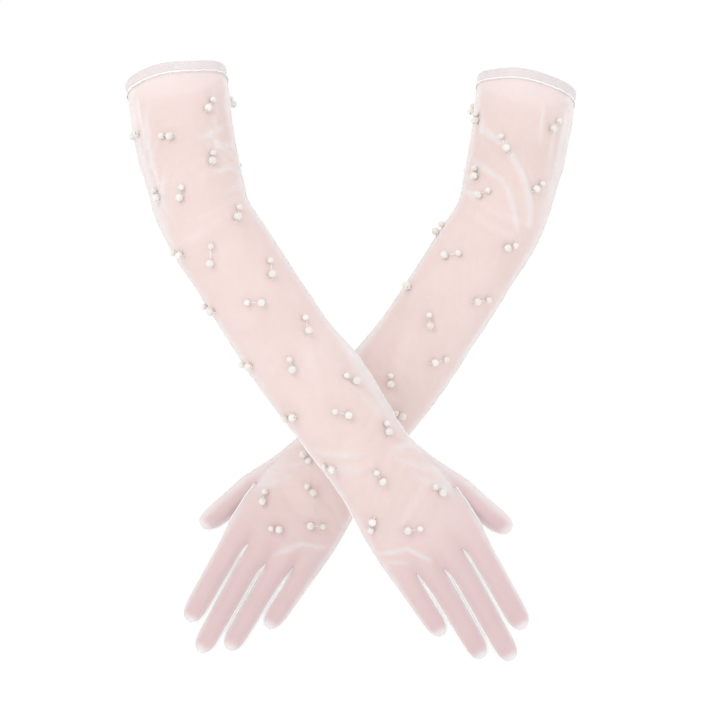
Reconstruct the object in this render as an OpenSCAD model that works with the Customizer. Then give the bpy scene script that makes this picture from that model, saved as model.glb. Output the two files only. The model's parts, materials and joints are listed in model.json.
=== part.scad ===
// A pair of long sheer tulle wedding gloves with sewn pearl pairs, shown as worn,
// crossed at the wrists. Millimetres. +Z is up, +X to the viewer's right and +Y is
// away from the viewer. The origin is the middle of the right glove's cuff opening.
// The backs of the hands face -Y and the palms face +Y.

/* [Sleeve] */
// Outside width of the round cuff opening
cuff_width = 75; // [68:1:84]
// Length of the sleeve from the cuff edge to the elbow
upper_length = 109.3; // [85:0.1:120]
// Length of the sleeve from the elbow to the wrist
forearm_length = 216.4; // [205:0.1:250]
// Width of the sleeve at the elbow, seen from the back of the hand
elbow_width = 66; // [60:1:72]
// Width of the loose stretch of sleeve above the wrist
loose_width = 70; // [64:1:76]
// Width of the wrist, seen from the back of the hand
wrist_width = 64; // [58:1:70]
// Thickness of the wrist from back to palm
wrist_depth = 48; // [40:1:54]
// Thickness of each fabric panel as a solid
wall = 0.8; // [0.6:0.1:1.2]

/* [Hem] */
// Depth of the folded hem at the cuff
hem_depth = 11.5; // [9:0.5:16]
// Distance from the cuff edge to the stitched line
stitch_drop = 8; // [5:0.5:8.5]
// Thickness of the sewing thread
thread = 0.7; // [0.4:0.1:1]

/* [Hand] */
// Width across the four knuckles
knuckle_width = 78; // [74:1:84]
// Thickness of the hand at the knuckles
knuckle_depth = 26; // [22:1:32]
// Length from the wrist to the middle finger's knuckle line
palm_length = 98; // [92:1:106]
// Length of the index finger stall
index_length = 77; // [70:1:84]
// Length of the middle finger stall
middle_length = 88; // [80:1:96]
// Length of the ring finger stall
ring_length = 76; // [70:1:84]
// Length of the little finger stall
little_length = 52; // [46:1:60]
// Length of the thumb stall beyond the hand
thumb_length = 61; // [54:1:66]
// Width of the index, middle and ring stalls at the knuckle
finger_width = 17.2; // [15:0.1:17.6]
// Width of the little finger stall
little_width = 15; // [13:0.1:15.6]
// Width of the thumb stall
thumb_width = 19; // [17:0.1:19.5]

/* [Pearls] */
// Diameter of the large pearl in a pair
large_pearl = 6; // [4:0.1:7]
// Diameter of the small pearl in a pair
small_pearl = 4.8; // [3:0.1:5]

/* [Pose] */
// Tilt of the upper sleeve from upright
upper_tilt = 11.2; // [8:0.1:16]
// Tilt of the forearm from upright
forearm_tilt = 34.4; // [30:0.1:38]
// Tilt of the hand from upright
hand_tilt = 35.5; // [33:0.5:38]
// Lean of the upper sleeve away from the viewer
lean = 16; // [10:1:18]
// Distance between the two gloves' cuffs, left to right
pair_width = 265; // [255:1:275]
// Distance of the left glove behind the right one
pair_depth = 84; // [82:1:96]

/* [Movement] */
// Bending of the elbow from its place at rest
elbow_bend = 35; // [20:1:40]
// Straightening of the elbow from its place at rest
elbow_straighten = 20; // [10:1:25]
// Swing of the wrist towards the back or the palm
wrist_swing = 30; // [20:1:30]
// Curl of a finger towards the palm
finger_curl = 70; // [45:1:75]
// Lift of a finger towards the back of the hand
finger_lift = 15; // [5:1:20]
// Curl of the thumb towards the palm
thumb_curl = 40; // [20:1:45]
// Lift of the thumb towards the back of the hand
thumb_lift = 10; // [5:1:15]

/* [Hidden] */
NODES = [
    for (side = ["right", "left"], piece = [
        "hem_band", "hem_stitching",
        "upper_back_panel", "upper_palm_panel", "upper_seams",
        "upper_large_pearls", "upper_small_pearls",
        "forearm_back_panel", "forearm_palm_panel", "forearm_seams",
        "forearm_large_pearls", "forearm_small_pearls",
        "hand_back_panel", "hand_palm_panel", "hand_seams",
        "hand_large_pearls", "hand_small_pearls",
        "index_stall", "middle_stall", "ring_stall", "little_stall", "thumb_stall",
        "index_seam", "middle_seam", "ring_seam", "little_seam", "thumb_seam"
    ]) str(side, "_", piece)
];
node = "all";

arc_steps = 16;         // spans across half a sleeve
stall_steps = 20;       // spans round a finger stall
panel_gap = 0.3;        // degrees left between a panel's edge and the side line
joint_gap = 0.6;        // clearance left at a joint's own axis
spare = 1;              // degrees added to each side of a joint's opening
seam_width = 1.2;       // how far a seam stands out from the panels' edges
stall_seam_width = 0.5; // how far a finger's seam stands out from its stall
seam_clear = 0.15;      // gap between a seam and the fabric
pearl_clear = 0.75;     // gap between a pearl and the fabric, for its thread
cuff_radius = cuff_width / 2;

// A frame is [origin, tilt, lean]. Along it runs down the arm, across it points
// to the thumb side of the right glove, and deep it points to the palm.
function down_of(f) = [sin(f[1]) * cos(f[2]), -sin(f[2]), -cos(f[1]) * cos(f[2])];
function across_of(f) = [cos(f[1]), 0, sin(f[1])];
function deep_of(f) = [sin(f[1]) * sin(f[2]), cos(f[2]), -cos(f[1]) * sin(f[2])];
function place(f, along, across, deep) =
    f[0] + along * down_of(f) + across * across_of(f) + deep * deep_of(f);

upper = [[0, 0, 0], upper_tilt, lean];
elbow_point = place(upper, upper_length, 0, 0);
elbow = [elbow_point, (upper_tilt + forearm_tilt) / 2, 0];
forearm = [elbow_point, forearm_tilt, 0];
wrist_point = place(forearm, forearm_length, 0, 0);
wrist = [wrist_point, (forearm_tilt + hand_tilt) / 2, 0];
hand = [wrist_point, hand_tilt, 0];

// How far a limb's end is set back from a joint, on either side of the joint's axis
function setback(s, angle_minus, angle_plus) =
    s > 0 ? s * tan(angle_plus) : -s * tan(angle_minus);

elbow_cut = [(elbow_straighten / 2) + spare, (elbow_bend / 2) + spare];
wrist_cut = [(wrist_swing / 2) + spare, (wrist_swing / 2) + spare];
knuckle_cut = [(finger_lift / 2) + spare, (finger_curl / 2) + spare];
thumb_cut = [(thumb_lift / 2) + spare, (thumb_curl / 2) + spare];

// Points along an oval from angle p0 to p1, shrunk by inset on every side.
// An oval is [along, middle across, middle deep, half width, half depth].
function arc(f, oval, p0, p1, inset) = [
    for (i = [0 : arc_steps])
        let (p = p0 + (p1 - p0) * i / arc_steps)
        place(f, oval[0], oval[1] + (oval[3] - inset) * cos(p),
            oval[2] + (oval[4] - inset) * sin(p))
];

// The same at a limb's end, cut back so that the joint can turn. way is -1 on the
// limb above the joint and 1 on the limb below it.
function cut_arc(f, way, half_w, half_d, cut_across, cut_deep, p0, p1, inset) = [
    for (i = [0 : arc_steps])
        let (
            p = p0 + (p1 - p0) * i / arc_steps,
            x = (half_w - inset) * cos(p),
            y = (half_d - inset) * sin(p),
            back = joint_gap + setback(x, cut_across[0], cut_across[1])
                + setback(y, cut_deep[0], cut_deep[1])
        )
        place(f, way * back, x, y)
];

no_cut = [0, 0];

// Triangles of a strip between two rows of points in a grid with `wide` points a row
function grid_faces(rows, wide, first, flip) = [
    for (r = [0 : rows - 2], c = [0 : wide - 2])
        let (a = first + r * wide + c, b = a + 1, d = a + wide, e = d + 1)
        for (tri = flip ? [[a, b, e], [a, e, d]] : [[a, e, b], [a, d, e]]) tri
];

// One fabric panel: a curved sheet between an outer and an inner grid of points
module panel(outer, inner) {
    rows = len(outer);
    wide = len(outer[0]);
    count = rows * wide;
    points = [for (g = [outer, inner], row = g, p = row) p];
    ends = [
        for (r = [0, rows - 1], c = [0 : wide - 2])
            let (a = r * wide + c, b = a + 1, d = a + count, e = b + count)
            for (tri = r == 0 ? [[a, b, e], [a, e, d]] : [[a, e, b], [a, d, e]]) tri
    ];
    sides = [
        for (c = [0, wide - 1], r = [0 : rows - 2])
            let (a = r * wide + c, b = a + wide, d = a + count, e = b + count)
            for (tri = c == 0 ? [[a, e, b], [a, d, e]] : [[a, b, e], [a, e, d]]) tri
    ];
    polyhedron(points, concat(
        grid_faces(rows, wide, 0, false),
        grid_faces(rows, wide, count, true), ends, sides));
}

// Angles where a panel starts and ends: the palm side is the upper half of the
// oval and the back of the hand is the lower half. open is the angle left free at
// the thumb's side.
function start_angle(palm, open) = palm ? open + panel_gap : 180 + panel_gap;
function end_angle(palm, open) = palm ? 180 - panel_gap : 360 - panel_gap - open;

upper_ovals = [
    [hem_depth + 0.3, 0, 0, cuff_radius, cuff_radius],
    [upper_length * 0.42, 0, 0, cuff_radius - 1, cuff_radius - 1],
    [upper_length * 0.72, 0, 0, elbow_width / 2 + 1, elbow_width / 2 + 1.5]
];
forearm_ovals = [
    [forearm_length * 0.18, 0, 0, elbow_width / 2 + 0.5, elbow_width / 2],
    [forearm_length * 0.36, 0, 0, elbow_width / 2, elbow_width / 2 - 1],
    [forearm_length * 0.55, -1, 0, loose_width / 2 - 1, elbow_width / 2 - 3],
    [forearm_length * 0.69, 0, 0, loose_width / 2, elbow_width / 2 - 5],
    [forearm_length * 0.85, 0, 0, loose_width / 2 - 2, wrist_depth / 2 + 2]
];
// [along as a part of the palm's length, least across, greatest across, half depth,
//  opening towards the thumb on the back panel, and on the palm panel]
hand_spans = [
    [0.14, -32, 35, 21, 0, 0],
    [0.26, -34, 41, 19, 0, 0],
    [0.34, -35, 44, 18, 8, 40],
    [0.41, -36, 46, 17.5, 12, 58],
    [0.45, -37, 39, 17, 12, 55],
    [0.52, -37.5, 38.5, 16.5, 8, 40],
    [0.62, -38, 38.5, 16, 0, 0],
    [0.8, -39, 39, 15, 0, 0]
];

function span_oval(s) =
    [s[0] * palm_length, (s[1] + s[2]) / 2, 0, (s[2] - s[1]) / 2, s[3]];

// Knuckle places: [along, across, splay towards the thumb]
index_knuckle = [palm_length - 3, 28.2, -6];
middle_knuckle = [palm_length, 8.9, -6];
ring_knuckle = [palm_length - 2, -10.4, -5];
little_knuckle = [palm_length - 9, -29.3, -2];
// The thumb's own joint: [along, across, splay, deep]
thumb_knuckle = [46, 45, 8, 10];

knuckle_line = [
    [-knuckle_width / 2, little_knuckle[0] - 2],
    [little_knuckle[1], little_knuckle[0]],
    [ring_knuckle[1], ring_knuckle[0]],
    [middle_knuckle[1], middle_knuckle[0]],
    [index_knuckle[1], index_knuckle[0]],
    [knuckle_width / 2, index_knuckle[0] - 2]
];

// The hand's open end, which follows the knuckles
function knuckle_arc(p0, p1, inset) = [
    for (i = [0 : arc_steps])
        let (
            p = p0 + (p1 - p0) * i / arc_steps,
            x = (knuckle_width / 2 - inset) * cos(p),
            y = (knuckle_depth / 2 - inset) * sin(p)
        )
        place(hand, lookup(x, knuckle_line) - 2 - joint_gap
            - setback(y, knuckle_cut[0], knuckle_cut[1]), x, y)
];

function upper_rows(palm, inset) =
    let (p0 = start_angle(palm, 0), p1 = end_angle(palm, 0))
    concat(
        [for (o = upper_ovals) arc(upper, o, p0, p1, inset)],
        [cut_arc(elbow, -1, elbow_width / 2, elbow_width / 2 + 1, elbow_cut, no_cut,
            p0, p1, inset)]
    );

function forearm_rows(palm, inset) =
    let (p0 = start_angle(palm, 0), p1 = end_angle(palm, 0))
    concat(
        [cut_arc(elbow, 1, elbow_width / 2, elbow_width / 2 + 1, elbow_cut, no_cut,
            p0, p1, inset)],
        [for (o = forearm_ovals) arc(forearm, o, p0, p1, inset)],
        [cut_arc(wrist, -1, wrist_width / 2, wrist_depth / 2, no_cut, wrist_cut,
            p0, p1, inset)]
    );

function hand_rows(palm, inset) =
    let (p0 = start_angle(palm, 0), p1 = end_angle(palm, 0))
    concat(
        [cut_arc(wrist, 1, wrist_width / 2, wrist_depth / 2, no_cut, wrist_cut,
            p0, p1, inset)],
        [for (s = hand_spans)
            arc(hand, span_oval(s), start_angle(palm, s[5]), end_angle(palm, s[4]), inset)],
        [knuckle_arc(p0, p1, inset)]
    );

module upper_panel(palm) {
    color("mistyrose", 0.6) panel(upper_rows(palm, 0), upper_rows(palm, wall));
}

module forearm_panel(palm) {
    color("mistyrose", 0.6) panel(forearm_rows(palm, 0), forearm_rows(palm, wall));
}

module hand_panel(palm) {
    color("mistyrose", 0.6) panel(hand_rows(palm, 0), hand_rows(palm, wall));
}

// Turns what is drawn with its length down -Z, its width along X and its depth
// along Y into a frame
module in_frame(f) {
    translate(f[0]) rotate([-f[2], -f[1], 0]) children();
}

// The folded hem: a round band, two layers thick, with a true bore
module hem_band() {
    color("white", 0.8) in_frame(upper) rotate_extrude($fn = 96)
        translate([cuff_radius - 2 * wall, -hem_depth]) square([2 * wall, hem_depth]);
}

// Two rows of thread round the hem: the stitched line and the fold's lower edge
module hem_stitching() {
    color("white") in_frame(upper)
        for (drop = [stitch_drop, hem_depth - thread])
            translate([0, 0, -drop]) rotate_extrude($fn = 96)
                translate([cuff_radius + seam_clear + thread / 2, 0])
                    circle(d = thread, $fn = 16);
}

// A flat seam that follows a limb's edge. edge is a list of [across, along], and
// the seam stands out from it by seam_width on the side that `out` points to.
module edge_seam(f, edge, out) {
    inner = [for (e = edge) [e[0] + out * seam_clear, -e[1]]];
    outer = [for (i = [len(edge) - 1 : -1 : 0])
        [edge[i][0] + out * (seam_clear + seam_width), -edge[i][1]]];
    in_frame(f) rotate([90, 0, 0]) translate([0, 0, -thread / 2])
        linear_extrude(thread) polygon(concat(inner, outer));
}

function oval_edge(ovals, out, from, to) = [
    for (o = ovals) if (o[0] >= from && o[0] <= to) [o[1] + out * o[3], o[0]]
];

module upper_seams() {
    color("white") for (out = [-1, 1])
        edge_seam(upper, oval_edge(upper_ovals, out, 0, upper_length), out);
}

module forearm_seams() {
    color("white") for (out = [-1, 1])
        edge_seam(forearm, oval_edge(forearm_ovals, out, 0, forearm_length), out);
}

// The hand's outer side seam, and the short seam from the wrist to the thumb
module hand_seams() {
    ovals = [for (s = hand_spans) span_oval(s)];
    color("white") edge_seam(hand, oval_edge(ovals, -1, 0, palm_length), -1);
    color("white") edge_seam(hand, oval_edge(ovals, 1, 0, palm_length * 0.3), 1);
    color("white") edge_seam(hand,
        oval_edge(ovals, 1, palm_length * 0.6, palm_length), 1);
}

// A finger stall's profile: [part of its length, part of its half width]
stall_profile = [[0.22, 1], [0.5, 0.98], [0.75, 0.94], [0.88, 0.84], [0.95, 0.66], [0.99, 0.38]];

function stall_ring(f, along, half, depth_part) = [
    for (i = [0 : stall_steps - 1])
        let (p = 360 * i / stall_steps)
        place(f, along, half * cos(p), half * depth_part * sin(p))
];

function stall_mouth(f, half, depth_part, cut) = [
    for (i = [0 : stall_steps - 1])
        let (p = 360 * i / stall_steps, y = half * depth_part * sin(p))
        place(f, joint_gap + setback(y, cut[0], cut[1]), half * cos(p), y)
];

// A hollow stall, open at the knuckle and closed at the tip
module stall(f, length, width, depth_part, cut) {
    rings = len(stall_profile) + 1;
    skin = [
        for (inset = [0, wall])
            concat(
                [stall_mouth(f, width / 2 - inset, depth_part, cut)],
                [for (s = stall_profile)
                    stall_ring(f, s[0] * length - inset,
                        max(width / 2 * s[1] - inset, 1), depth_part)]
            )
    ];
    points = [for (g = skin, row = g, p = row) p];
    count = rings * stall_steps;
    around = [
        for (layer = [0, 1], r = [0 : rings - 2], c = [0 : stall_steps - 1])
            let (
                n = (c + 1) % stall_steps,
                a = layer * count + r * stall_steps + c,
                b = layer * count + r * stall_steps + n,
                d = a + stall_steps,
                e = b + stall_steps
            )
            for (tri = layer == 1 ? [[a, b, e], [a, e, d]] : [[a, e, b], [a, d, e]]) tri
    ];
    mouth = [
        for (c = [0 : stall_steps - 1])
            let (n = (c + 1) % stall_steps)
            for (tri = [[c, n, n + count], [c, n + count, c + count]]) tri
    ];
    last = (rings - 1) * stall_steps;
    tips = [
        [for (c = [stall_steps - 1 : -1 : 0]) last + c],
        [for (c = [0 : stall_steps - 1]) count + last + c]
    ];
    polyhedron(points, concat(around, mouth, tips));
}

// The seam that runs up one side of a stall, round its tip and down the other side
module stall_seam(f, length, width) {
    side = [for (s = stall_profile) [width / 2 * s[1], s[0] * length]];
    tip = [[1.5, length + seam_clear]];
    edge = concat(side, tip);
    reach = seam_clear + stall_seam_width;
    near = [for (e = edge) [e[0] + seam_clear, -e[1]]];
    far = [for (e = edge) [e[0] + reach, -e[1] - (e[1] > length * 0.9 ? reach : 0)]];
    n = len(edge);
    in_frame(f) rotate([90, 0, 0]) translate([0, 0, -thread / 2])
        linear_extrude(thread) polygon(concat(
            near,
            [for (i = [n - 1 : -1 : 0]) [-near[i][0], near[i][1]]],
            [for (i = [0 : n - 1]) [-far[i][0], far[i][1]]],
            [for (i = [n - 1 : -1 : 0]) far[i]]
        ));
}

function finger_frame(knuckle) =
    [place(hand, knuckle[0], knuckle[1], 0), hand_tilt + knuckle[2], 0];
thumb_frame = [
    place(hand, thumb_knuckle[0], thumb_knuckle[1], thumb_knuckle[3]),
    hand_tilt + thumb_knuckle[2], -2
];

finger_depth = 1;       // thickness of a finger stall as a part of its width

module finger_stall(knuckle, length, width) {
    color("mistyrose", 0.6)
        stall(finger_frame(knuckle), length, width, finger_depth, knuckle_cut);
}

module finger_seam(knuckle, length, width) {
    color("white") stall_seam(finger_frame(knuckle), length, width);
}

// Pearl pairs: [along, angle] of the large pearl, then of the small one. Angle 270 is
// the middle of the back, 0 the thumb side and 90 the palm side.
right_upper_pairs = [
    [40, 301, 33, 310], [57, 253, 55, 244], [44, 209, 43, 197], [81, 295, 75, 298],
    [97, 218, 91, 215], [104, 249, 97, 254]
];
left_upper_pairs = [
    [42, 334, 36, 338], [66, 281, 57, 290], [41, 232, 33, 226], [88, 318, 82, 320],
    [104, 306, 100, 295], [91, 237, 85, 229]
];
palm_upper_pairs = [
    [26, 12, 20, 18], [30, 60, 25, 69], [34, 110, 29, 101], [38, 152, 31, 154],
    [60, 80, 57, 68], [64, 134, 60, 145], [70, 30, 63, 28]
];
right_forearm_pairs = [
    [17, 305, 12, 316], [16, 217, 12, 208], [34, 247, 24, 259], [66, 301, 57, 310],
    [79, 270, 73, 256], [63, 203, 57, 190], [115, 299, 106, 306], [132, 257, 125, 261],
    [112, 208, 108, 198], [165, 313, 158, 306], [183, 280, 175, 269],
    [161, 220, 159, 206], [210, 313, 204, 318], [209, 221, 204, 208]
];
left_forearm_pairs = [
    [36, 353, 29, 353], [48, 305, 41, 291], [17, 245, 12, 238], [83, 330, 79, 339],
    [63, 238, 57, 225], [98, 270, 92, 278], [119, 240, 112, 228], [151, 268, 146, 274],
    [166, 234, 167, 243]
];
palm_forearm_pairs = [
    [30, 60, 23, 62], [34, 128, 31, 140], [66, 96, 62, 85], [76, 40, 70, 46],
    [80, 150, 73, 146], [108, 70, 104, 81], [116, 120, 115, 108], [146, 44, 139, 46],
    [150, 100, 147, 112], [156, 154, 150, 146], [186, 72, 180, 78], [190, 130, 183, 128]
];
right_hand_pairs = [
    [21, 264, 13, 266], [41, 227, 45, 220], [61, 259, 65, 271], [53, 317, 47, 313]
];
left_hand_pairs = [
    [16, 306, 18, 294], [35, 264, 34, 273], [63, 313, 56, 318], [73, 277, 76, 285],
    [57, 251, 52, 238]
];

function upper_pairs(side) =
    concat(side == "right" ? right_upper_pairs : left_upper_pairs, palm_upper_pairs);
function forearm_pairs(side) =
    concat(side == "right" ? right_forearm_pairs : left_forearm_pairs, palm_forearm_pairs);
function hand_pairs(side) = side == "right" ? right_hand_pairs : left_hand_pairs;

// The oval at a given place along a limb, between the listed ones
function oval_at(ovals, along) = [
    along,
    lookup(along, [for (o = ovals) [o[0], o[1]]]),
    lookup(along, [for (o = ovals) [o[0], o[2]]]),
    lookup(along, [for (o = ovals) [o[0], o[3]]]),
    lookup(along, [for (o = ovals) [o[0], o[4]]])
];

// A pearl's centre: it rests on the oval at an angle, clear of the fabric
function pearl_at(f, ovals, along, angle, size) =
    let (
        o = oval_at(ovals, along),
        lift = size / 2 + pearl_clear,
        slope = [cos(angle) / o[3], sin(angle) / o[4]],
        out = slope / norm(slope)
    )
    place(f, along, o[1] + o[3] * cos(angle) + lift * out[0],
        o[2] + o[4] * sin(angle) + lift * out[1]);

module large_pearls(f, ovals, pairs) {
    color("ivory") for (q = pairs)
        translate(pearl_at(f, ovals, q[0], q[1], large_pearl))
            sphere(d = large_pearl, $fn = 32);
}

module small_pearls(f, ovals, pairs) {
    color("ivory") for (q = pairs)
        translate(pearl_at(f, ovals, q[2], q[3], small_pearl))
            sphere(d = small_pearl, $fn = 32);
}

hand_ovals = concat(
    [[0, 0, 0, wrist_width / 2, wrist_depth / 2]],
    [for (s = hand_spans) span_oval(s)]
);

// Puts a piece of the right glove in its place on either glove
module on(side) {
    if (side == "right") children();
    else translate([pair_width, pair_depth, 0]) mirror([1, 0, 0]) children();
}

// True when a piece of one side is wanted
function wanted(side, piece) = node == "all" || node == str(side, "_", piece);

for (side = ["right", "left"]) on(side) {
    if (wanted(side, "hem_band")) hem_band();
    if (wanted(side, "hem_stitching")) hem_stitching();
    if (wanted(side, "upper_back_panel")) upper_panel(false);
    if (wanted(side, "upper_palm_panel")) upper_panel(true);
    if (wanted(side, "upper_seams")) upper_seams();
    if (wanted(side, "upper_large_pearls"))
        large_pearls(upper, upper_ovals, upper_pairs(side));
    if (wanted(side, "upper_small_pearls"))
        small_pearls(upper, upper_ovals, upper_pairs(side));
    if (wanted(side, "forearm_back_panel")) forearm_panel(false);
    if (wanted(side, "forearm_palm_panel")) forearm_panel(true);
    if (wanted(side, "forearm_seams")) forearm_seams();
    if (wanted(side, "forearm_large_pearls"))
        large_pearls(forearm, forearm_ovals, forearm_pairs(side));
    if (wanted(side, "forearm_small_pearls"))
        small_pearls(forearm, forearm_ovals, forearm_pairs(side));
    if (wanted(side, "hand_back_panel")) hand_panel(false);
    if (wanted(side, "hand_palm_panel")) hand_panel(true);
    if (wanted(side, "hand_seams")) hand_seams();
    if (wanted(side, "hand_large_pearls"))
        large_pearls(hand, hand_ovals, hand_pairs(side));
    if (wanted(side, "hand_small_pearls"))
        small_pearls(hand, hand_ovals, hand_pairs(side));
    if (wanted(side, "index_stall")) finger_stall(index_knuckle, index_length, finger_width);
    if (wanted(side, "middle_stall")) finger_stall(middle_knuckle, middle_length, finger_width);
    if (wanted(side, "ring_stall")) finger_stall(ring_knuckle, ring_length, finger_width);
    if (wanted(side, "little_stall")) finger_stall(little_knuckle, little_length, little_width);
    if (wanted(side, "thumb_stall"))
        color("mistyrose", 0.6) stall(thumb_frame, thumb_length, thumb_width, 1, thumb_cut);
    if (wanted(side, "index_seam")) finger_seam(index_knuckle, index_length, finger_width);
    if (wanted(side, "middle_seam")) finger_seam(middle_knuckle, middle_length, finger_width);
    if (wanted(side, "ring_seam")) finger_seam(ring_knuckle, ring_length, finger_width);
    if (wanted(side, "little_seam")) finger_seam(little_knuckle, little_length, little_width);
    if (wanted(side, "thumb_seam"))
        color("white") stall_seam(thumb_frame, thumb_length, thumb_width);
}
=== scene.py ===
"""A pair of long sheer tulle gloves with sewn pearls, in the shape they have when worn.

Everything is worked out in millimetres on the right glove, from the places of the
frame's joints and cuff mounts, and mirrored for the left glove.
"""
import json
import math

import bpy
import numpy as np
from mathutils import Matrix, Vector
from mathutils.bvhtree import BVHTree


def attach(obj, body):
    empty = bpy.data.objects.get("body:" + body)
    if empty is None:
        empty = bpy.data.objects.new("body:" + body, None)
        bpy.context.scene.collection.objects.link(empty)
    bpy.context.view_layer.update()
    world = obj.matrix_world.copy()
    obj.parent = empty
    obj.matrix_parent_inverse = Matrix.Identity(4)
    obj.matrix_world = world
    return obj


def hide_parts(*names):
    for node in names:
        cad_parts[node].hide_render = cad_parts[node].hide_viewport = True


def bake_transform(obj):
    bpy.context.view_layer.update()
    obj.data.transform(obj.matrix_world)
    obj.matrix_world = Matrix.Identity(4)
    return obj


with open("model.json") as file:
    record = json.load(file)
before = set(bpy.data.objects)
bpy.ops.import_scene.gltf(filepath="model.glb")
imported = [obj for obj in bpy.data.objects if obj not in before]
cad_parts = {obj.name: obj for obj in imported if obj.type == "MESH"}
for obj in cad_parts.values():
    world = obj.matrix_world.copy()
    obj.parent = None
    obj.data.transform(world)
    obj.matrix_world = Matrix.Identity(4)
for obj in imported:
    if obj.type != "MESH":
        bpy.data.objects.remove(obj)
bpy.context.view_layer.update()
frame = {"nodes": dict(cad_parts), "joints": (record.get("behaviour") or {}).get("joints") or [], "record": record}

MM = 0.001
SIDES = ("right", "left")
FINGERS = ("index", "middle", "ring", "little")
JOINTS = {j["name"]: j for j in frame["joints"]}
MOUNTS = {m["name"]: m for m in frame["record"]["mounts"]}

# ---- places in the frame


def unit(v):
    """The vector at length 1."""
    v = np.asarray(v, float)
    return v / np.linalg.norm(v)


def joint_place(name):
    """A joint's place in millimetres."""
    return np.array(JOINTS[name]["pos_m"]) / MM


def tilt_of(name):
    """The tilt from upright of a limb whose joint's axis runs across it."""
    axis = JOINTS[name]["axis"]
    return math.atan2(axis[2], axis[0])


CUFF = np.array(MOUNTS["right_cuff"]["pos_m"]) / MM
LEFT_CUFF = np.array(MOUNTS["left_cuff"]["pos_m"]) / MM
ELBOW = joint_place("right_elbow")
WRIST = joint_place("right_wrist")
UPPER_LENGTH = float(np.linalg.norm(ELBOW - CUFF))
FOREARM_LENGTH = float(np.linalg.norm(WRIST - ELBOW))
WRIST_AT = UPPER_LENGTH + FOREARM_LENGTH
UPPER_DIR = unit(ELBOW - CUFF)
FOREARM_DIR = unit(WRIST - ELBOW)
FOREARM_TILT = math.atan2(FOREARM_DIR[0], -FOREARM_DIR[2])
HAND_TILT = 2 * tilt_of("right_wrist") - FOREARM_TILT
CUFF_RADIUS = 37.5
HEM_DEPTH = float(MOUNTS["right_cuff"]["dims"]["length_mm"])


def down_at(tilt, lean=0.0):
    """The direction down a limb with this tilt from upright and lean to the back."""
    return np.array([
        math.sin(tilt) * math.cos(lean), -math.sin(lean), -math.cos(tilt) * math.cos(lean)])


def across_at(tilt):
    """The direction across a limb, to the thumb's side of the right glove."""
    return np.array([math.cos(tilt), 0.0, math.sin(tilt)])


def to_side(points, side):
    """Points of the right glove, in millimetres, put on either glove in metres."""
    points = np.array(points, float)
    if side == "left":
        points = LEFT_CUFF + (points - CUFF) * (-1, 1, 1)
    return points * MM


# ---- the arm's middle line

HAND_DIR = down_at(HAND_TILT)
CORNERS = [(UPPER_LENGTH, ELBOW, UPPER_DIR, FOREARM_DIR), (WRIST_AT, WRIST, FOREARM_DIR, HAND_DIR)]
BEND = 18.0             # how far the line's rounding reaches to each side of a corner


def spine(s):
    """(place, down, across, deep) at a distance down the sleeve from the cuff."""
    if s < UPPER_LENGTH:
        place, down = CUFF + s * UPPER_DIR, UPPER_DIR
    elif s < WRIST_AT:
        place, down = ELBOW + (s - UPPER_LENGTH) * FOREARM_DIR, FOREARM_DIR
    else:
        place, down = WRIST + (s - WRIST_AT) * HAND_DIR, HAND_DIR
    for at, corner, before, after in CORNERS:
        t = (s - at + BEND) / (2 * BEND)
        if 0 < t < 1:
            a, c = corner - BEND * before, corner + BEND * after
            place = (1 - t) ** 2 * a + 2 * t * (1 - t) * corner + t * t * c
            down = unit((1 - t) * (corner - a) + t * (c - corner))
    across = unit([-down[2], 0, down[0]])
    return place, down, across, np.cross(across, down)


# Half sizes of the glove down the arm:
# (distance from the cuff, width to the little finger's side, width to the thumb's, depth)
H = WRIST_AT
SECTIONS = np.array([
    (0, 37.8, 37.2, 37.5),
    (12, 38, 36.6, 37.3),
    (30, 38.8, 34.6, 36.8),
    (60, 38, 33.4, 36),
    (84, 35.4, 33.4, 34.6),
    (105, 33.4, 33, 34),
    (140, 33.2, 33.6, 33),
    (180, 34, 32.4, 32),
    (222, 36, 31.8, 30),
    (254, 35.6, 33.8, 28),
    (288, 33.4, 33.4, 26),
    (H, 31.5, 32, 23.6),
    (H + 14, 31.8, 34.5, 20.6),
    (H + 26, 33.6, 38, 18.8),
    (H + 36, 35, 40.4, 17.8),
    (H + 46, 36.4, 41.2, 17),
    (H + 60, 37.8, 41, 16),
    (H + 76, 38.4, 40.2, 15),
    (H + 88, 38.2, 39.5, 13.6),
    (H + 100, 37.6, 38.6, 12),
])


def section_at(s):
    """The three half sizes at a distance from the cuff, eased between the listed ones."""
    near = [s + d for d in (-6, -3, 0, 3, 6)]
    return [float(np.mean([np.interp(at, SECTIONS[:, 0], SECTIONS[:, k]) for at in near]))
            for k in (1, 2, 3)]


# ---- columns round the glove

# The crotches between the fingers: (place across, distance past the wrist)
CROTCHES = [(17.4, 91.0), (-1.8, 96.0), (-20.2, 86.0)]
SIDE_ENDS = [(38.5, 92.0), (-38.0, 85.0)]
CROTCH_COLUMNS = (12, 21, 30)
HALF = 42
COLUMNS = 2 * HALF
KNUCKLE_HALF = 38.5
ANGLE_STOPS = [0.0] + [math.degrees(math.acos(c[0] / KNUCKLE_HALF)) for c in CROTCHES] + [180.0]
COLUMN_STOPS = [0, *CROTCH_COLUMNS, HALF]
WEB_SPANS = 6


def column_angle(c):
    """The angle round the glove of a column: 0 the thumb's side, 90 the palm."""
    c = c % COLUMNS
    if c <= HALF:
        return math.radians(np.interp(c, COLUMN_STOPS, ANGLE_STOPS))
    return math.radians(360 - np.interp(COLUMNS - c, COLUMN_STOPS, ANGLE_STOPS))


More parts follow.
